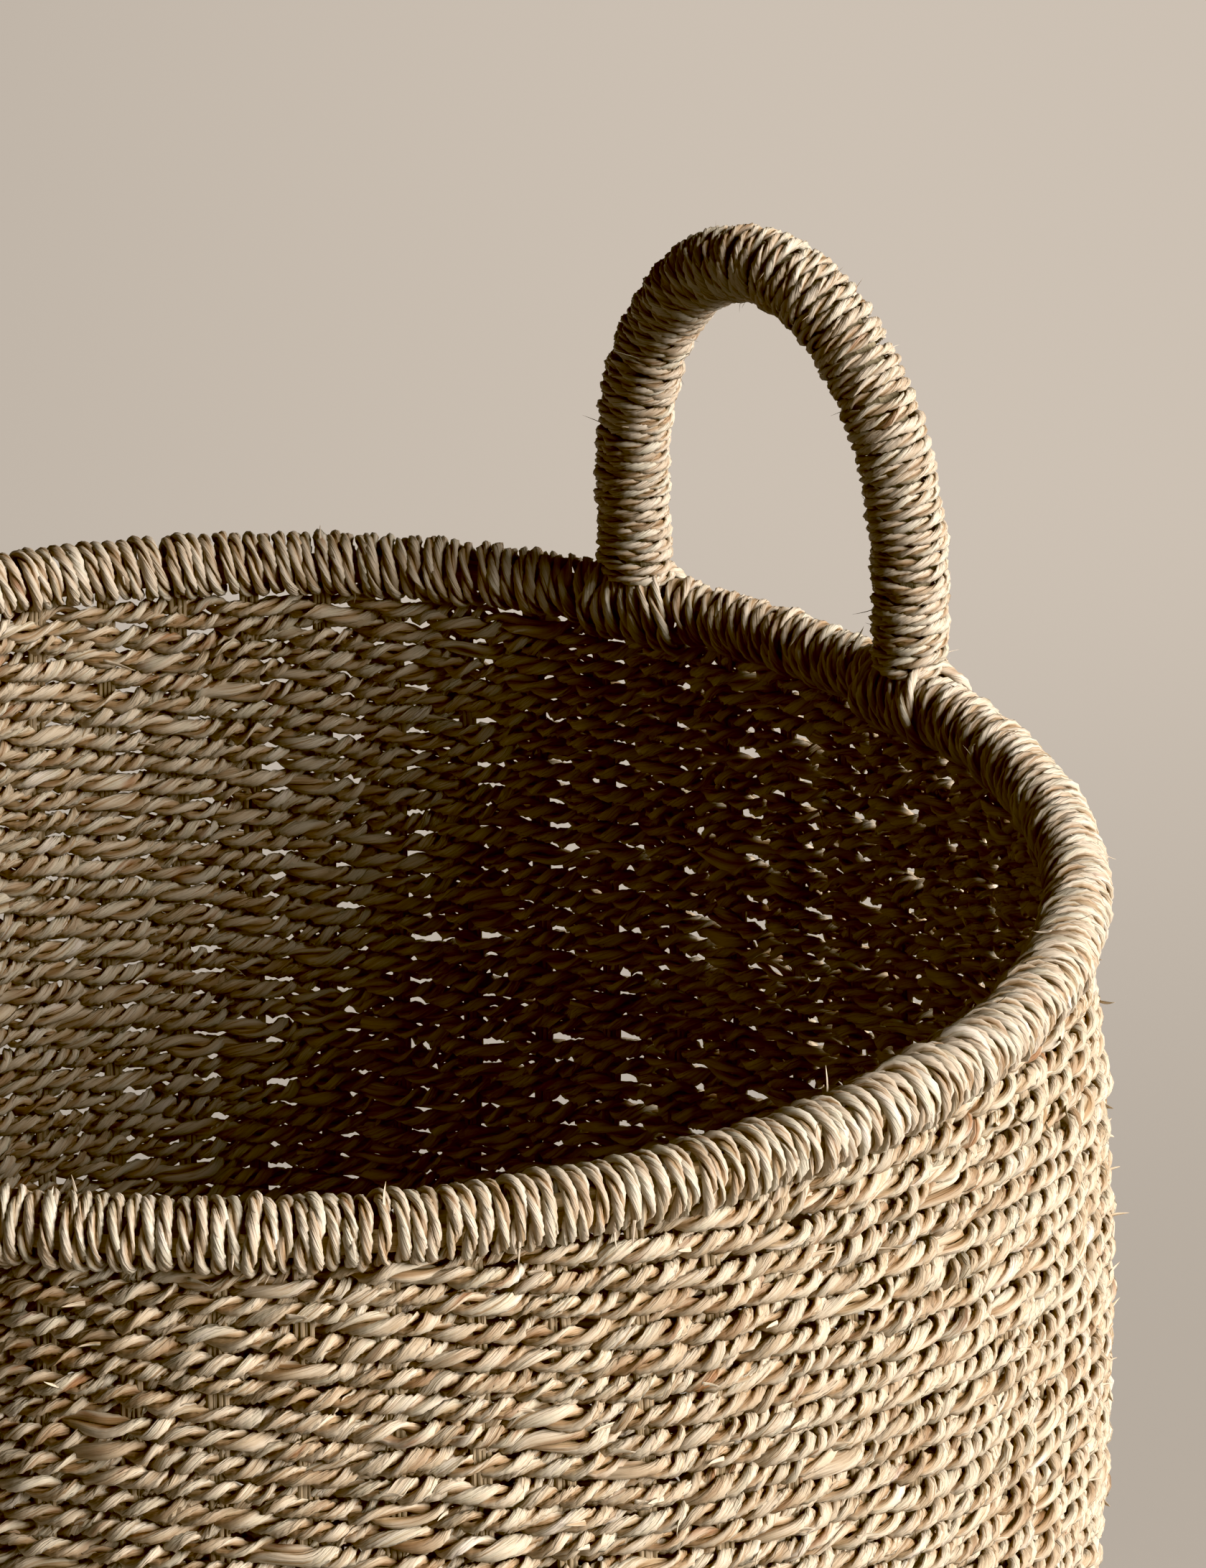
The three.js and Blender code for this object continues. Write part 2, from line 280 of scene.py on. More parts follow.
class Nodes:
    """Short calls for building a material's node tree."""

    def __init__(self, name):
        self.material = bpy.data.materials.new(name)
        self.material.use_nodes = True
        self.tree = self.material.node_tree
        self.shader = self.tree.nodes["Principled BSDF"]

    def link(self, source, target):
        if hasattr(source, "links"):
            self.tree.links.new(source, target)
        else:
            target.default_value = source

    def add(self, kind, **settings):
        node = self.tree.nodes.new(kind)
        for key, value in settings.items():
            setattr(node, key, value)
        return node

    def attribute(self, name, output):
        return self.add("ShaderNodeAttribute", attribute_name=name).outputs[output]

    def math(self, operation, first, second=0.0):
        node = self.add("ShaderNodeMath", operation=operation)
        self.link(first, node.inputs[0])
        self.link(second, node.inputs[1])
        return node.outputs[0]

    def scaled(self, vector, factors):
        node = self.add("ShaderNodeVectorMath", operation="MULTIPLY")
        self.link(vector, node.inputs[0])
        node.inputs[1].default_value = factors
        return node.outputs[0]

    def along(self, vector, direction):
        node = self.add("ShaderNodeVectorMath", operation="DOT_PRODUCT")
        self.link(vector, node.inputs[0])
        node.inputs[1].default_value = direction
        return node.outputs["Value"]

    def noise(self, vector, w, detail=2.0, roughness=0.5):
        node = self.add("ShaderNodeTexNoise", noise_dimensions="4D")
        self.link(vector, node.inputs["Vector"])
        self.link(w, node.inputs["W"])
        node.inputs["Scale"].default_value = 1
        node.inputs["Detail"].default_value = detail
        node.inputs["Roughness"].default_value = roughness
        return node.outputs["Fac"]

    def ramp(self, value, stops):
        node = self.add("ShaderNodeValToRGB")
        elements = node.color_ramp.elements
        while len(elements) < len(stops):
            elements.new(0.5)
        for element, (place, colour) in zip(elements, stops):
            element.position = place
            element.color = (*colour, 1)
        self.link(value, node.inputs[0])
        return node.outputs["Color"]

    def step(self, value, low, high):
        node = self.add("ShaderNodeMapRange", interpolation_type="SMOOTHSTEP")
        self.link(value, node.inputs["Value"])
        node.inputs["From Min"].default_value = low
        node.inputs["From Max"].default_value = high
        return node.outputs["Result"]

    def spread(self, value, low, high):
        node = self.add("ShaderNodeMapRange")
        self.link(value, node.inputs["Value"])
        node.inputs["From Min"].default_value = 0.3
        node.inputs["From Max"].default_value = 0.7
        node.inputs["To Min"].default_value = low
        node.inputs["To Max"].default_value = high
        return node.outputs["Result"]

    def mix(self, share, first, second, blend="MIX"):
        node = self.add("ShaderNodeMix", data_type="RGBA", blend_type=blend)
        self.link(share, node.inputs[0])
        self.link(first, node.inputs[6])
        self.link(second, node.inputs[7])
        return node.outputs[2]

    def bump(self, height, distance, under=None):
        node = self.add("ShaderNodeBump")
        self.link(height, node.inputs["Height"])
        node.inputs["Distance"].default_value = distance
        node.inputs["Strength"].default_value = 1.0
        if under is not None:
            self.link(under, node.inputs["Normal"])
        return node.outputs[0]


FIBRE_STREAKS = [(0.3, (0.7, 0.6, 0.47)), (0.45, (0.95, 0.93, 0.9)), (0.7, (1.06, 1.06, 1.06))]
# Painted shade in the crease valleys, which the bump sinks, and a little painted light on the ridges.
PAINTED_CREASE_SHADE = [(0.32, (0.64, 0.52, 0.39)), (0.42, (1, 1, 1)), (0.75, (1.05, 1.05, 1.05))]
CREASE_SCALE = 0.42
PATCH_SCALE = (0.62, 0.62, 0.08)
SPOT_SCALE = (0.6, 0.6, 0.08)
PATCH_DRIFT = 0.05
SPOT_SHIFT = 31.0
RUST_BLEND = 0.16
# Painted crevice shade: where it starts and where it is full between a rope's plies, and the colour it
# multiplies by.
CREVICE_SHADE_FROM, CREVICE_SHADE_TO = 0.06, 0.55
PAINTED_CREVICE_SHADE = (0.62, 0.48, 0.34, 1)
CREASE_DEPTH = 0.7 * MM
FIBRE_DEPTH = 0.3 * MM


def dried_grass(name, tones, rust, rust_from, crevice_shade_colour, sheen):
    """Dried leaf: streaks and creases along the fibre, patches of tone, rust segments, and painted shade in
    the crease valleys and in the crevices between plies.
    """
    nodes = Nodes(name)
    grain = nodes.attribute("grain", "Vector")
    grain_w = nodes.attribute("grain_w", "Fac")
    strand = nodes.attribute("strand", "Fac")
    crevice_shade = nodes.attribute("crevice_shade", "Fac")

    fine = nodes.noise(grain, grain_w, detail=3, roughness=0.7)
    crease_w = nodes.math("MULTIPLY", grain_w, CREASE_SCALE)
    creases = nodes.noise(nodes.scaled(grain, (0.4, 0.4, CREASE_SCALE)), crease_w)
    patch_w = nodes.math("MULTIPLY", grain_w, PATCH_DRIFT)
    patches = nodes.noise(nodes.scaled(grain, PATCH_SCALE), patch_w, detail=1)
    spots_w = nodes.math("ADD", patch_w, SPOT_SHIFT)
    spots = nodes.noise(nodes.scaled(grain, SPOT_SCALE), spots_w, detail=2)

    tone = nodes.math("ADD", nodes.math("MULTIPLY", patches, 1.6), nodes.math("MULTIPLY", strand, 0.3))
    tone = nodes.math("SUBTRACT", tone, 0.45)
    colour = nodes.ramp(tone, tones)
    colour = nodes.mix(nodes.step(spots, rust_from, rust_from + RUST_BLEND), colour, rust)
    colour = nodes.mix(1.0, colour, nodes.ramp(fine, FIBRE_STREAKS), "MULTIPLY")
    # Painted shade: the crease valleys are darkened and the ridges a little lightened.
    colour = nodes.mix(1.0, colour, nodes.ramp(creases, PAINTED_CREASE_SHADE), "MULTIPLY")
    # Painted shade: darker near each rope's core, in the crevices between plies.
    colour = nodes.mix(nodes.step(crevice_shade, CREVICE_SHADE_FROM, CREVICE_SHADE_TO), colour, crevice_shade_colour, "MULTIPLY")
    nodes.link(colour, nodes.shader.inputs["Base Color"])

    nodes.link(nodes.spread(fine, *sheen), nodes.shader.inputs["Roughness"])
    ridges = nodes.bump(creases, CREASE_DEPTH)
    nodes.link(nodes.bump(fine, FIBRE_DEPTH, under=ridges), nodes.shader.inputs["Normal"])
    nodes.shader.inputs["Specular IOR Level"].default_value = 0.32
    return nodes.material


def weave_material():
    tones = [
        (0.08, (0.23, 0.15, 0.084)),
        (0.30, (0.365, 0.288, 0.195)),
        (0.50, (0.465, 0.392, 0.297)),
        (0.68, (0.40, 0.354, 0.263)),
        (0.92, (0.51, 0.447, 0.376)),
    ]
    return dried_grass("woven_seagrass", tones, (0.21, 0.10, 0.04, 1), 0.60, PAINTED_CREVICE_SHADE, (0.48, 0.78))


def twine_material():
    tones = [
        (0.08, (0.25, 0.183, 0.117)),
        (0.32, (0.38, 0.312, 0.232)),
        (0.52, (0.455, 0.392, 0.312)),
        (0.70, (0.41, 0.373, 0.29)),
        (0.92, (0.49, 0.436, 0.372)),
    ]
    return dried_grass("wrapping_twine", tones, (0.23, 0.12, 0.055, 1), 0.64, PAINTED_CREVICE_SHADE, (0.38, 0.64))


def stake_material():
    tones = [
        (0.10, (0.10, 0.065, 0.035)),
        (0.40, (0.17, 0.125, 0.07)),
        (0.70, (0.23, 0.175, 0.11)),
        (0.92, (0.28, 0.22, 0.15)),
    ]
    # The colour (0.5, 0.4, 0.3) is the painted crevice shade; the stakes' tubes have no core, so it stays
    # unused.
    return dried_grass("stake_seagrass", tones, (0.15, 0.07, 0.03, 1), 0.6, (0.5, 0.4, 0.3, 1), (0.5, 0.8))


def cane_material():
    """Split cane of the hoops: fine grain in the hoop's direction."""
    nodes = Nodes("hoop_cane")
    place = nodes.add("ShaderNodeNewGeometry").outputs["Position"]
    grain = nodes.noise(nodes.scaled(place, (60, 60, 2500)), 0.0, detail=3)
    tones = [(0.3, (0.33, 0.20, 0.09)), (0.55, (0.50, 0.34, 0.17)), (0.8, (0.60, 0.44, 0.25))]
    colour = nodes.ramp(grain, tones)
    nodes.link(colour, nodes.shader.inputs["Base Color"])
    nodes.link(nodes.spread(grain, 0.4, 0.65), nodes.shader.inputs["Roughness"])
    nodes.link(nodes.bump(grain, 0.2 * MM), nodes.shader.inputs["Normal"])
    return nodes.material


def padding_material():
    """Loose grass filling in coarse mixed straw tones, kept dark as painted shade where it shows between
    the twine's turns.
    """
    nodes = Nodes("handle_filling")
    place = nodes.add("ShaderNodeNewGeometry").outputs["Position"]
    grain = nodes.noise(nodes.scaled(place, (900, 250, 250)), 0.0, detail=4)
    # Painted shade: every tone is below the twine's, so the gaps between turns read as shade.
    tones = [(0.3, (0.11, 0.08, 0.04)), (0.5, (0.2, 0.16, 0.09)), (0.75, (0.26, 0.22, 0.14))]
    colour = nodes.ramp(grain, tones)
    nodes.link(colour, nodes.shader.inputs["Base Color"])
    nodes.link(nodes.spread(grain, 0.7, 0.95), nodes.shader.inputs["Roughness"])
    nodes.link(nodes.bump(grain, 0.6 * MM), nodes.shader.inputs["Normal"])
    return nodes.material


def steel_material():
    """Drawn wire, dulled by handling and a little rust."""
    nodes = Nodes("handle_steel")
    place = nodes.add("ShaderNodeNewGeometry").outputs["Position"]
    stain = nodes.noise(nodes.scaled(place, (120, 120, 120)), 0.0, detail=4)
    tones = [(0.4, (0.36, 0.35, 0.33)), (0.6, (0.30, 0.27, 0.24)), (0.75, (0.26, 0.14, 0.08))]
    colour = nodes.ramp(stain, tones)
    nodes.link(colour, nodes.shader.inputs["Base Color"])
    nodes.link(nodes.spread(stain, 0.3, 0.7), nodes.shader.inputs["Roughness"])
    nodes.link(nodes.bump(stain, 0.1 * MM), nodes.shader.inputs["Normal"])
    nodes.shader.inputs["Metallic"].default_value = 0.9
    return nodes.material


WEAVE = weave_material()
TWINE = twine_material()
STAKE = stake_material()
CANE = cane_material()
PADDING = padding_material()
STEEL = steel_material()

# ---- Shape of the woven shell: its middle line from the base's centre out and up to the rim ----


def wall_middle(height):
    """Radius of the middle of the wall, widest at the bulge and narrower above and below it."""
    above = (height - BULGE_HEIGHT) / (WALL_TOP - BULGE_HEIGHT)
    below = (BULGE_HEIGHT - height) / BULGE_HEIGHT
    mouth_fall = (BULGE_RADIUS - MOUTH_RADIUS) * above**2
    foot_fall = (BULGE_RADIUS - FOOT_RADIUS) * below**2
    return BULGE_RADIUS - np.where(above > 0, mouth_fall, foot_fall) - WALL_THICKNESS / 2


FLAT_POINTS = 200
CORNER_POINTS = 40
WALL_POINTS = 400
WALL_START = FLAT_POINTS + CORNER_POINTS - 2


def shell_line():
    """Finely spaced [radius, height] points along the base, round the corner and up the wall.

    The last point of the corner, which has the index WALL_START, is where the wall starts.
    """
    foot = BASE_MIDDLE + CORNER_RADIUS
    corner_middle = wall_middle(foot) - CORNER_RADIUS
    flat = np.linspace(CROSSING, corner_middle, FLAT_POINTS)
    turn = np.linspace(-math.pi / 2, 0, CORNER_POINTS)
    heights = np.linspace(foot, RIM_HEIGHT, WALL_POINTS)
    bottom = np.stack([flat, np.full(FLAT_POINTS, BASE_MIDDLE)], 1)
    corner_out = corner_middle + CORNER_RADIUS * np.cos(turn)
    corner = np.stack([corner_out, foot + CORNER_RADIUS * np.sin(turn)], 1)
    wall = np.stack([wall_middle(heights), heights], 1)
    return np.concatenate([bottom[:-1], corner, wall[1:]])


SHELL = shell_line()
SHELL_RUN = np.concatenate([[0], np.cumsum(np.linalg.norm(np.diff(SHELL, axis=0), axis=1))])


def on_shell(run):
    """Radius and height at a distance along the shell's line, and its outward direction there."""
    place = np.stack([np.interp(run, SHELL_RUN, SHELL[:, k]) for k in (0, 1)], -1)
    before = np.stack([np.interp(run - MM, SHELL_RUN, SHELL[:, k]) for k in (0, 1)], -1)
    after = np.stack([np.interp(run + MM, SHELL_RUN, SHELL[:, k]) for k in (0, 1)], -1)
    along = unit(after - before)
    return place, np.stack([along[..., 1], -along[..., 0]], -1)


def from_profile(angle, place):
    """A point at an angle round the basket, from its [radius, height]."""
    outward, _ = around(angle)
    return outward * place[..., :1] + UP * place[..., 1:]


# ---- Weft: two-ply rope in rounds that pass outside and inside alternate stakes ----

PLIES = 2
ROW_PITCH = 3.78 * MM
TOP_ROW_DROP = 2.2 * MM
ROPE_SIDES = 7
ROPE_STEP = 2.1 * MM
ROPE_TWIST = 17.5 * MM
ROPE_SIZE = (1.7 * MM, 2.2 * MM, 1.55 * MM)
ROPE_SQUASH = 0.9
SWING = 2.1 * MM
SWING_FLATNESS = 0.12
LIFT = 0.65 * MM
ROW_UNEVENNESS = 0.65 * MM
ROPE_UNEVENNESS = 0.45 * MM
TWIST_UNEVENNESS = 1.3
ROWS_PER_BAND = 9
BASE_PART_ENDS = (0.3, 0.6, 1.0)
ENDS_PER_ROUND = 14
WEFT_END = (2.2 * MM, 6 * MM, 0.8 * MM)
BASE_TOP_RUN = 93 * MM - CROSSING


def swing(angle):
    """How far a round stands out, from 1 outside a stake to -1 inside the next, flat over each stake."""
    return (np.cos(angle) - SWING_FLATNESS * np.cos(3 * angle)) / (1 - SWING_FLATNESS)


RIM_WAVE = 2.0 * MM
RIM_WAVE_TURN = math.radians(-115)
SETTLING = 0.7 * MM
SETTLING_HEIGHT = 60 * MM


def rim_level(angle):
    """The hand-made rim stands a little higher in two places and lower between them."""
    return RIM_WAVE * np.cos(2 * (angle - RIM_WAVE_TURN))


def settle(angle, run):
    """Slow rise and fall that neighbouring rounds share, as a woven wall never lies quite level."""
    height = run / SETTLING_HEIGHT
    slow = np.sin(5 * angle + height) + 0.8 * np.sin(9 * angle - 1.4 * height + 2)
    waves = SETTLING * (slow + 0.6 * np.sin(17 * angle + 2 * height + 4))
    return waves + rim_level(angle) * (run / SHELL_RUN[-1]) ** 4


def weft_round(strands, run, row, spokes):
    """One round of rope at a distance along the shell, woven over the given number of stakes or pairs."""
    length = TURN * on_shell(np.array(run))[0][0]
    count = round(length / ROPE_STEP)
    angle = np.arange(count) / count * TURN
    step = TURN / spokes
    weave = (angle - STAKE_OFFSET) / step * math.pi - (math.pi / 2 if spokes == STAKES else 0.0)
    side = 1 if row % 2 == 0 else -1
    reach = SWING * (1 + 0.2 * wander(count, length, 25 * MM))
    shift = -side * LIFT * np.sin(weave) + ROW_UNEVENNESS * wander(count, length, 18 * MM)
    places, normals = on_shell(run + shift + settle(angle, run))
    proud = ROPE_UNEVENNESS * wander(count, length, 16 * MM)
    places = places + normals * column(side * reach * swing(weave) + proud)
    path = from_profile(angle, places)
    out = from_profile(angle, normals)
    twists = round(length / ROPE_TWIST + random.uniform(-1.5, 1.5))
    phase = twists * angle + random.uniform(0, TURN) + TWIST_UNEVENNESS * wander(count, length, 20 * MM)
    squeeze = 1 - 0.1 * np.sin(weave) ** 2
    strands.rope(path, out, phase, PLIES, ROPE_SIZE, True, (ROPE_SQUASH, squeeze))
    strands.fray(path, out, ENDS_PER_ROUND, *WEFT_END)


def wall():
    """All rounds of the wall from the rim down, in bands. Returns where along the shell they end."""
    first = SHELL_RUN[WALL_START]
    last = SHELL_RUN[-1] - (RIM_HEIGHT - WALL_TOP) - TOP_ROW_DROP
    rows = int((last - first) / ROW_PITCH)
    for band in range(math.ceil(rows / ROWS_PER_BAND)):
        strands = Strands(ROPE_SIDES)
        for row in range(band * ROWS_PER_BAND, min((band + 1) * ROWS_PER_BAND, rows)):
            weft_round(strands, last - row * ROW_PITCH, row, STAKES)
        strands.build(f"wall_weft_{band + 1:02d}", WEAVE, ["wall_weave"])
    return last - rows * ROW_PITCH


def base(top_run):
    """Rounds from the wall's foot in to the stakes' crossing. The inner ones pass over pairs of stakes."""
    rows = int((top_run - BASE_TOP_RUN) / ROW_PITCH)
    ends = [round(share * rows) for share in BASE_PART_ENDS]
    for part, start, end in zip(("outer", "middle", "inner"), [0] + ends, ends):
        strands = Strands(ROPE_SIDES)
        for row in range(start, end):
            run = top_run - row * ROW_PITCH
            single = on_shell(np.array(run))[0][0] > SPLIT_RADIUS
            weft_round(strands, run, row, STAKES if single else STAKES // 2)
        strands.build(f"base_weft_{part}", WEAVE, ["base_weave"])


# ---- Stakes: flat bundles of grass that run up one side, across the base and up the other ----

STAKE_STRANDS = 4
STRAND_SIDES = 5
STRAND_SPACING = 1.35 * MM
STRAND_SIZE = (1.05 * MM, 0.75 * MM)
STAKE_PITCH = 6 * MM
MAT_SWING = 1.7 * MM
MAT_EDGE = 0.95
MAT_STEP = 1 / 16


def stake_line(set_turn, set_side, index):
    """Middle of a stake and its outward direction: down the wall, over the base's crossing and up again."""
    turn = (index - (STAKES_PER_SET - 1) / 2) * STAKE_STEP
    runs = np.arange(SHELL_RUN[-1], 0, -STAKE_PITCH)
    places, normals = on_shell(runs)
    places[:, 0] = np.maximum(places[:, 0], CROSSING / math.cos(turn))
    keep = np.concatenate([[True], np.diff(places[:, 0]) + np.diff(places[:, 1]) != 0])
    set_turn = set_turn + STAKE_OFFSET
    near_angle = np.full(keep.sum(), set_turn + turn)
    far_angle = np.full(keep.sum(), set_turn + math.pi - turn)
    near = from_profile(near_angle, places[keep])
    far = from_profile(far_angle, places[keep])[::-1]
    near_out = from_profile(near_angle, normals[keep])
    far_out = from_profile(far_angle, normals[keep])[::-1]
    across = np.arange(MAT_EDGE, -MAT_EDGE, -MAT_STEP)
    beside = math.tan(turn) * CROSSING
    forward, sideways = around(np.array(set_turn))
    middle = forward * column(across * CROSSING) + sideways * beside + UP * BASE_MIDDLE
    crossed = np.arctan(across) / STAKE_STEP + (STAKES_PER_SET - 1) / 2
    over = (-1) ** index * np.cos(math.pi * crossed) * set_side
    middle = middle + UP * column(MAT_SWING * over)
    middle_out = np.tile(-UP, (len(across), 1))
    return np.concatenate([near, middle, far]), np.concatenate([near_out, middle_out, far_out])


def stakes():
    """Two sets of stakes that cross at right angles. In the base each goes over and under the other set."""
    for name, set_turn, set_side in (("x", 0.0, -1), ("y", math.pi / 2, 1)):
        strands = Strands(STRAND_SIDES)
        for index in range(STAKES_PER_SET):
            path, out = stake_line(set_turn, set_side, index)
            along = directions(path, False)
            out = unit(out - dot(out, along) * along)
            across = np.cross(out, along)
            length = path_length(path, False)
            for k in range(STAKE_STRANDS):
                aside = (k - (STAKE_STRANDS - 1) / 2) * STRAND_SPACING
                drift = aside + 0.2 * MM * wander(len(path), length, 50 * MM)
                proud = 0.3 * MM * wander(len(path), length, 40 * MM)
                centre = path + across * column(drift) + out * column(proud)
                strands.tube(centre, across, out, STRAND_SIZE[0], STRAND_SIZE[1], False)
        nodes = [f"stake_{name}_{i + 1:02d}" for i in range(STAKES_PER_SET)]
        strands.build(f"stakes_{name}", STAKE, nodes)


# ---- Rim: twine wound closely round the hoops and the stakes' ends ----

RIM_TURN_PITCH = 4.3 * MM
RIM_TWINE_SIZE = (0.95 * MM, 1.55 * MM, 1.2 * MM)
RIM_SQUASH = (0.85, 1)
RIM_TWIST = 24 * MM
RIM_LEAN = 1.0 * MM
RIM_ENDS = 60
RIM_END = (1.2 * MM, 5 * MM, 0.5 * MM)
TWINE_SIDES = 8
TWINE_STEP = 2.2 * MM
RIM_WIND = RIM_TUBE - 1.9 * MM


def ring_point(angle, turned, radius):
    """A point on the rim's tube and its direction away from the tube's middle."""
    outward, _ = around(angle)
    away = outward * column(np.cos(turned)) + UP * column(np.sin(turned))
    height = column(RIM_HEIGHT + rim_level(angle))
    return outward * RIM_MIDDLE + UP * height + away * column(radius), away


def rim_stretch(strands, start, end):
    """Twine wound round the rim between two angles, with turns that crowd and spread a little."""
    turns = (end - start) * RIM_MIDDLE / RIM_TURN_PITCH
    length = turns * TURN * RIM_WIND
    count = round(length / TWINE_STEP)
    turned = np.linspace(0, turns * TURN, count)
    uneven = 0.55 * MM * wander(count, length, 35 * MM) + 0.7 * MM * wander(count, length, 400 * MM)
    lean = RIM_LEAN * np.sin(turned)
    angle = end - (end - start) * np.linspace(0, 1, count) + (uneven + lean) / RIM_MIDDLE
    bulge = 0.35 * MM * wander(count, length, 28 * MM)
    lump = 0.35 * MM * np.maximum(wander(count, length, 90 * MM), 0)
    path, away = ring_point(angle, turned, RIM_WIND + (bulge + lump))
    phase = TURN * np.linspace(0, length, count) / RIM_TWIST + 0.7 * wander(count, length, 60 * MM)
    strands.rope(path, away, phase, PLIES, RIM_TWINE_SIZE, False, RIM_SQUASH)
    strands.fray(path, away, RIM_ENDS, *RIM_END, 0)


def rim():
    for name, start in (("back", 0.0), ("front", math.pi)):
        strands = Strands(TWINE_SIDES)
        rim_stretch(strands, start, start + math.pi)
        strands.build(f"rim_wrap_{name}", TWINE, ["rim_wrap"])


# ---- Handles: twine wound round the padded arch, and bindings that fan over the rim ----

HANDLE_TURN_PITCH = 3.6 * MM
HANDLE_TWINE_SIZE = (0.85 * MM, 1.45 * MM, 1.1 * MM)
HANDLE_SQUASH = (0.8, 1)
HANDLE_TWIST = 17 * MM
HANDLE_LAY = 0.8 * MM
HANDLE_STEP = 2.0 * MM
HANDLE_HAIRS = 40
HANDLE_HAIR = (1.2 * MM, 5 * MM, 0.16 * MM)
HANDLE_WIND = HANDLE_TUBE - 1.4 * MM
BINDING_TURNS = 7
BINDING_SPAN = 33 * MM
BINDING_GATHER = 0.45
BINDING_SQUASH = (0.9, 1)
BINDING_WIND = RIM_TUBE + 1.7 * MM
LEG_POINTS = 59
BOW_POINTS = 500
ARCH_STEP = 0.5 * MM
ARCH_SINK = 3 * MM


def arch_line():
    """The middle of the right handle's tube, foot to foot, in even steps."""
    rise = HANDLE_TOP - SHOULDER
    leg = np.linspace(RIM_TOP - ARCH_SINK, SHOULDER, LEG_POINTS + 1)[:-1]
    angle = np.linspace(0, math.pi, BOW_POINTS)
    up_leg = np.stack([np.full(LEG_POINTS, LEG_X), np.full(LEG_POINTS, -LEG_Y), leg], 1)
    bow_y, bow_z = -LEG_Y * np.cos(angle), SHOULDER + rise * np.sin(angle)
    bow = np.stack([np.full(BOW_POINTS, LEG_X), bow_y, bow_z], 1)
    down_leg = (up_leg * np.array([1, -1, 1]))[::-1]
    line = np.concatenate([up_leg, bow, down_leg])
    line[:, 0] -= HANDLE_LEAN * (line[:, 2] - RIM_HEIGHT) / (HANDLE_TOP - RIM_HEIGHT)
    run = np.concatenate([[0], np.cumsum(np.linalg.norm(np.diff(line, axis=0), axis=1))])
    even = np.linspace(0, run[-1], round(run[-1] / ARCH_STEP))
    return np.stack([np.interp(even, run, line[:, k]) for k in range(3)], 1), even


ARCH, ARCH_RUN = arch_line()
ARCH_ALONG = directions(ARCH, False)


def on_arch(run):
    """Places along the arch, with the directions away from its inside and across it."""
    place = np.stack([np.interp(run, ARCH_RUN, ARCH[:, k]) for k in range(3)], 1)
    along = unit(np.stack([np.interp(run, ARCH_RUN, ARCH_ALONG[:, k]) for k in range(3)], 1))
    level = np.tile([1.0, 0.0, 0.0], (len(run), 1))
    return place, np.cross(level, along), level


def turned_about(points, turn):
    cos, sin = math.cos(turn), math.sin(turn)
    return points @ np.array([[cos, sin, 0], [-sin, cos, 0], [0, 0, 1]])


def handle_wrap(side, turn):
    """Twine wound round a whole arch, foot to foot."""
    strands = Strands(TWINE_SIDES)
    turns = ARCH_RUN[-1] / HANDLE_TURN_PITCH
    length = turns * TURN * HANDLE_WIND
    count = round(length / HANDLE_STEP)
    turned = np.linspace(0, turns * TURN, count)
    uneven = 0.5 * MM * wander(count, length, 30 * MM) + 0.6 * MM * wander(count, length, 300 * MM)
    run = np.linspace(0, ARCH_RUN[-1], count) + uneven + HANDLE_LAY * np.sin(turned)
    place, outside, level = on_arch(np.clip(run, 0, ARCH_RUN[-1]))
    away = -outside * column(np.cos(turned)) + level * column(np.sin(turned))
    bulge = 0.3 * MM * wander(count, length, 25 * MM)
    path = turned_about(place + away * column(HANDLE_WIND + bulge), turn)
    phase = TURN * np.linspace(0, length, count) / HANDLE_TWIST + 0.7 * wander(count, length, 50 * MM)
    away = turned_about(away, turn)
    strands.rope(path, away, phase, PLIES, HANDLE_TWINE_SIZE, False, HANDLE_SQUASH)
    strands.fray(path, away, HANDLE_HAIRS, *HANDLE_HAIR, 0)
    strands.build(f"handle_{side}_twine", TWINE, [f"handle_{side}_wrap"])


def handle_binding(side, end, name, turn):
    """Turns round the rim at a leg's foot, drawn together under the leg."""
    strands = Strands(TWINE_SIDES)
    length = BINDING_TURNS * TURN * BINDING_WIND
    count = round(length / TWINE_STEP)
    turned = np.linspace(-math.pi / 2, BINDING_TURNS * TURN - math.pi / 2, count)
    aside = np.linspace(0.5, -0.5, count) * BINDING_SPAN
    gather = 1 - BINDING_GATHER * np.maximum(np.sin(turned), 0)
    aside = aside * gather + 0.5 * MM * wander(count, length, 30 * MM)
    angle = turn + end * HANDLE_ANGLE + aside / RIM_MIDDLE
    radius = BINDING_WIND + 0.35 * MM * wander(count, length, 28 * MM)
    path, away = ring_point(angle, turned, radius)
    phase = TURN * np.linspace(0, length, count) / RIM_TWIST + 0.6 * wander(count, length, 60 * MM)
    strands.rope(path, away, phase, PLIES, RIM_TWINE_SIZE, False, BINDING_SQUASH)
    replaced = [f"handle_{side}_binding_{name}"]
    strands.build(f"handle_{side}_binding_twine_{name}", TWINE, replaced)


def handles():
    for side, turn in (("right", 0.0), ("left", math.pi)):
        handle_wrap(side, turn)
        handle_binding(side, -1, "front", turn)
        handle_binding(side, 1, "back", turn)


# ---- Hidden CAD parts keep their shape and get their materials ----


def dress_frame():
    for node in ("rim_hoop_inner", "rim_hoop_outer"):
        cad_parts[node].data.materials[0] = CANE
    for side in ("right", "left"):
        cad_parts[f"handle_{side}_padding"].data.materials[0] = PADDING
        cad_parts[f"handle_{side}_wire"].data.materials[0] = STEEL


wall_foot = wall()
base(wall_foot)
stakes()
rim()
handles()
dress_frame()

# ---- Floor, light and camera ----

FLOOR_HALF = 30.0
FLOOR_TONE = (0.489, 0.453, 0.407, 1)
# Painted floor shade: how dark it gets near the basket and on the side away from the light.
NEAR_SHADE, SIDE_SHADE = (0.76,) * 3, (0.79,) * 3
FULL_TONE = (1, 1, 1)
AIR_COLOUR = (1.0, 0.62, 0.32, 1)


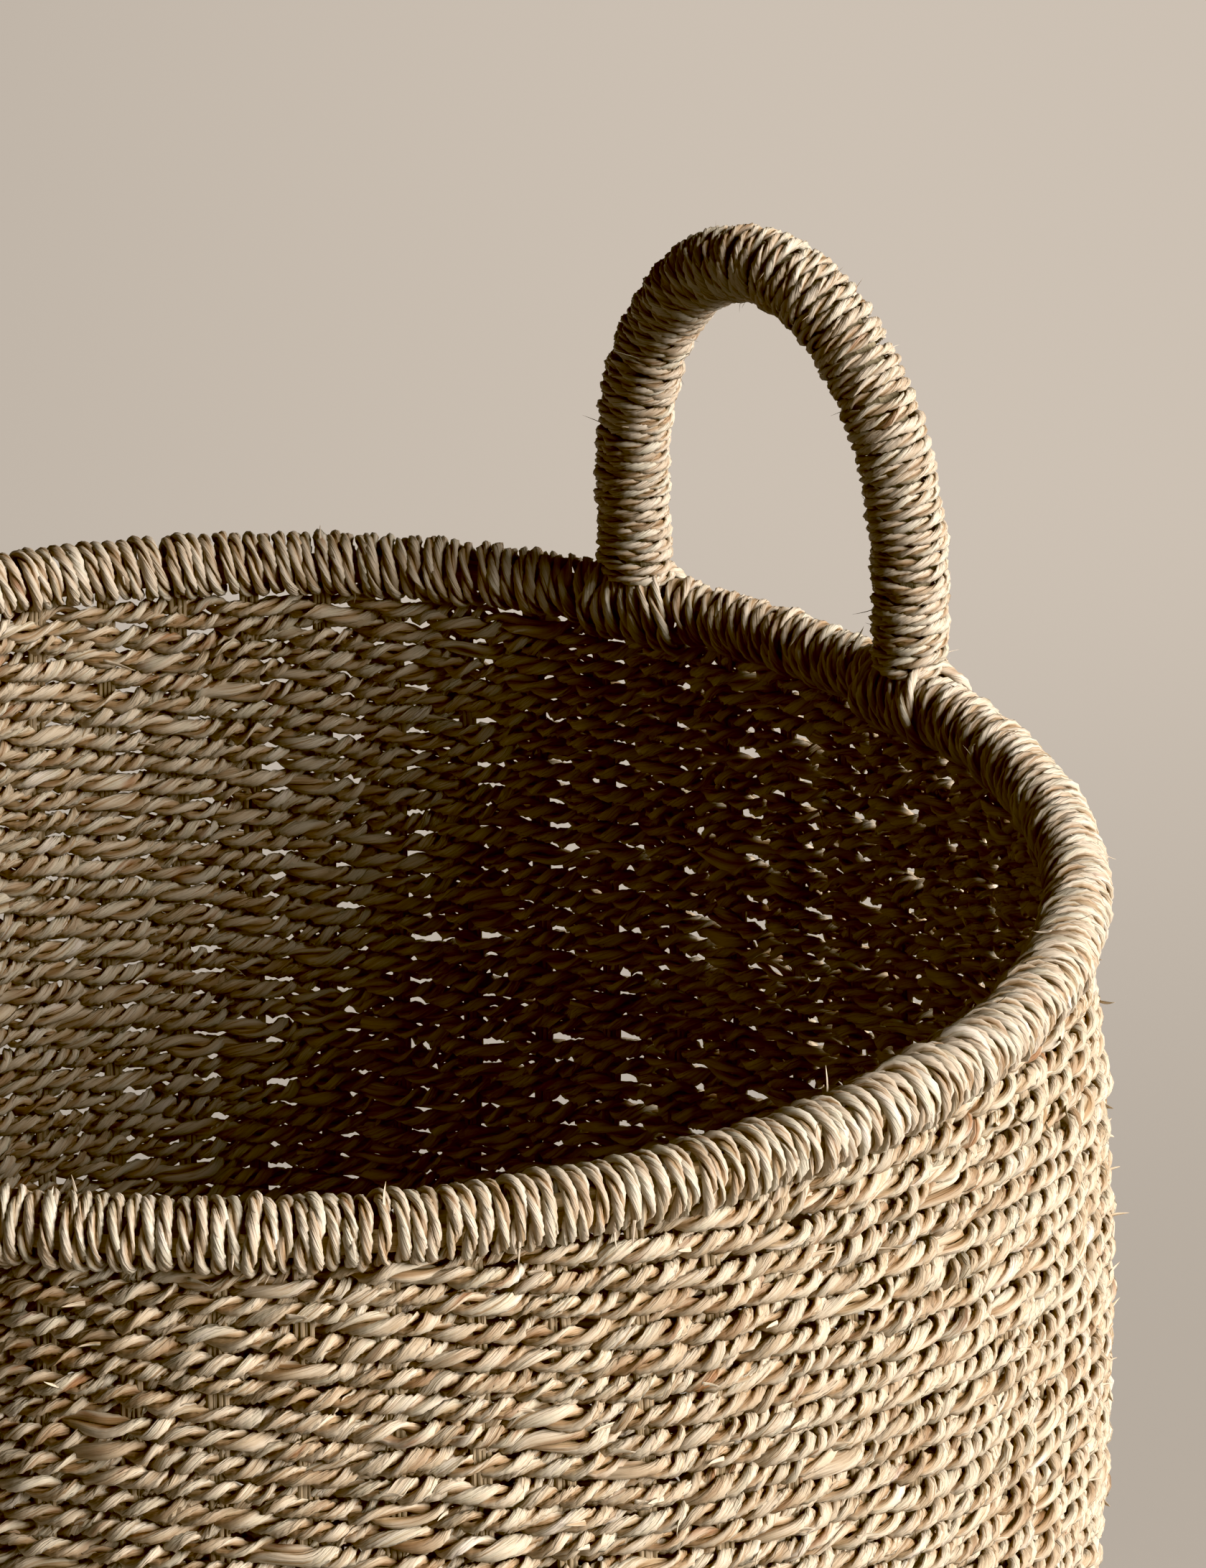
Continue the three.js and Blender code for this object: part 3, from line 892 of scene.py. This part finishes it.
def floor():
    """A plain pale floor with painted shade: a little darker towards the basket and away from the light."""
    mesh = bpy.data.meshes.new("floor")
    corners = [(-FLOOR_HALF, -FLOOR_HALF, 0), (FLOOR_HALF, -FLOOR_HALF, 0)]
    corners += [(FLOOR_HALF, FLOOR_HALF, 0), (-FLOOR_HALF, FLOOR_HALF, 0)]
    mesh.from_pydata(corners, [], [(0, 1, 2, 3)])
    nodes = Nodes("pale_floor")
    place = nodes.add("ShaderNodeNewGeometry").outputs["Position"]
    level, right = view_directions()
    depth = nodes.along(place, -level)
    breadth = nodes.along(place, right)
    # Painted shade on the floor: darker near the basket and on the side away from the key light.
    near = nodes.ramp(nodes.step(depth, 0.35, 1.3), [(0, NEAR_SHADE), (1, FULL_TONE)])
    side = nodes.ramp(nodes.step(breadth, -0.5, 0.35), [(0, SIDE_SHADE), (1, FULL_TONE)])
    colour = nodes.mix(1.0, nodes.mix(1.0, near, side, "MULTIPLY"), FLOOR_TONE, "MULTIPLY")
    nodes.link(colour, nodes.shader.inputs["Base Color"])
    nodes.shader.inputs["Roughness"].default_value = 0.95
    nodes.shader.inputs["Specular IOR Level"].default_value = 0.1
    mesh.materials.append(nodes.material)
    plane = bpy.data.objects.new("floor", mesh)
    bpy.context.scene.collection.objects.link(plane)


VIEW_AZIMUTH = math.radians(-46.45)
VIEW_ELEVATION = math.radians(24.5)
VIEW_DISTANCE = 9.346 * RIM_RADIUS
AIM_RIGHT = 95.0 * MM
AIM_UP = 23.4 * MM
LENS = 179.7


def view_directions():
    """Level directions from the basket towards the camera and towards the camera's right."""
    level = Vector((math.sin(VIEW_AZIMUTH), -math.cos(VIEW_AZIMUTH), 0))
    return level, Vector((-level.y, level.x, 0))


def camera():
    rim_centre = Vector((0, 0, RIM_HEIGHT))
    level, right = view_directions()
    back = level * math.cos(VIEW_ELEVATION) + Vector(UP) * math.sin(VIEW_ELEVATION)
    up = back.cross(right)
    data = bpy.data.cameras.new("camera")
    data.lens = LENS
    data.sensor_width = 36
    eye = bpy.data.objects.new("camera", data)
    bpy.context.scene.collection.objects.link(eye)
    eye.location = rim_centre + back * VIEW_DISTANCE
    aim = rim_centre + right * AIM_RIGHT + up * AIM_UP
    eye.rotation_mode = "QUATERNION"
    eye.rotation_quaternion = (aim - eye.location).to_track_quat("-Z", "Y")
    bpy.context.scene.camera = eye


KEY_TO_FRONT = math.radians(23.5)
KEY_ELEVATION = math.radians(22)
KEY_SOFTNESS = math.radians(42)
KEY_STRENGTH = 10.2
KEY_COLOUR = (1.0, 0.955, 0.92)
AIR_STRENGTH = 0.028
DEEP_TONES = (0.0, 0.0048, 0.0118)


def studio():
    """A broad soft key light from the camera's right, a little in front, in dim warm air.

    The view's tone curve takes a little green and blue from the deepest tones, so shade turns to brown.
    """
    level, right = view_directions()
    sideways = right * math.cos(KEY_TO_FRONT) + level * math.sin(KEY_TO_FRONT)
    towards = sideways * math.cos(KEY_ELEVATION) + Vector(UP) * math.sin(KEY_ELEVATION)
    data = bpy.data.lights.new("key", "SUN")
    data.angle = KEY_SOFTNESS
    data.energy = KEY_STRENGTH
    data.color = KEY_COLOUR
    lamp = bpy.data.objects.new("key", data)
    bpy.context.scene.collection.objects.link(lamp)
    lamp.rotation_mode = "QUATERNION"
    lamp.rotation_quaternion = (-towards).to_track_quat("-Z", "Y")
    world = bpy.data.worlds.new("studio")
    world.use_nodes = True
    background = world.node_tree.nodes["Background"]
    background.inputs["Color"].default_value = AIR_COLOUR
    background.inputs["Strength"].default_value = AIR_STRENGTH
    bpy.context.scene.world = world
    view = bpy.context.scene.view_settings
    view.view_transform = "Standard"
    view.use_curve_mapping = True
    view.curve_mapping.black_level = DEEP_TONES
    view.curve_mapping.update()


floor()
camera()
studio()
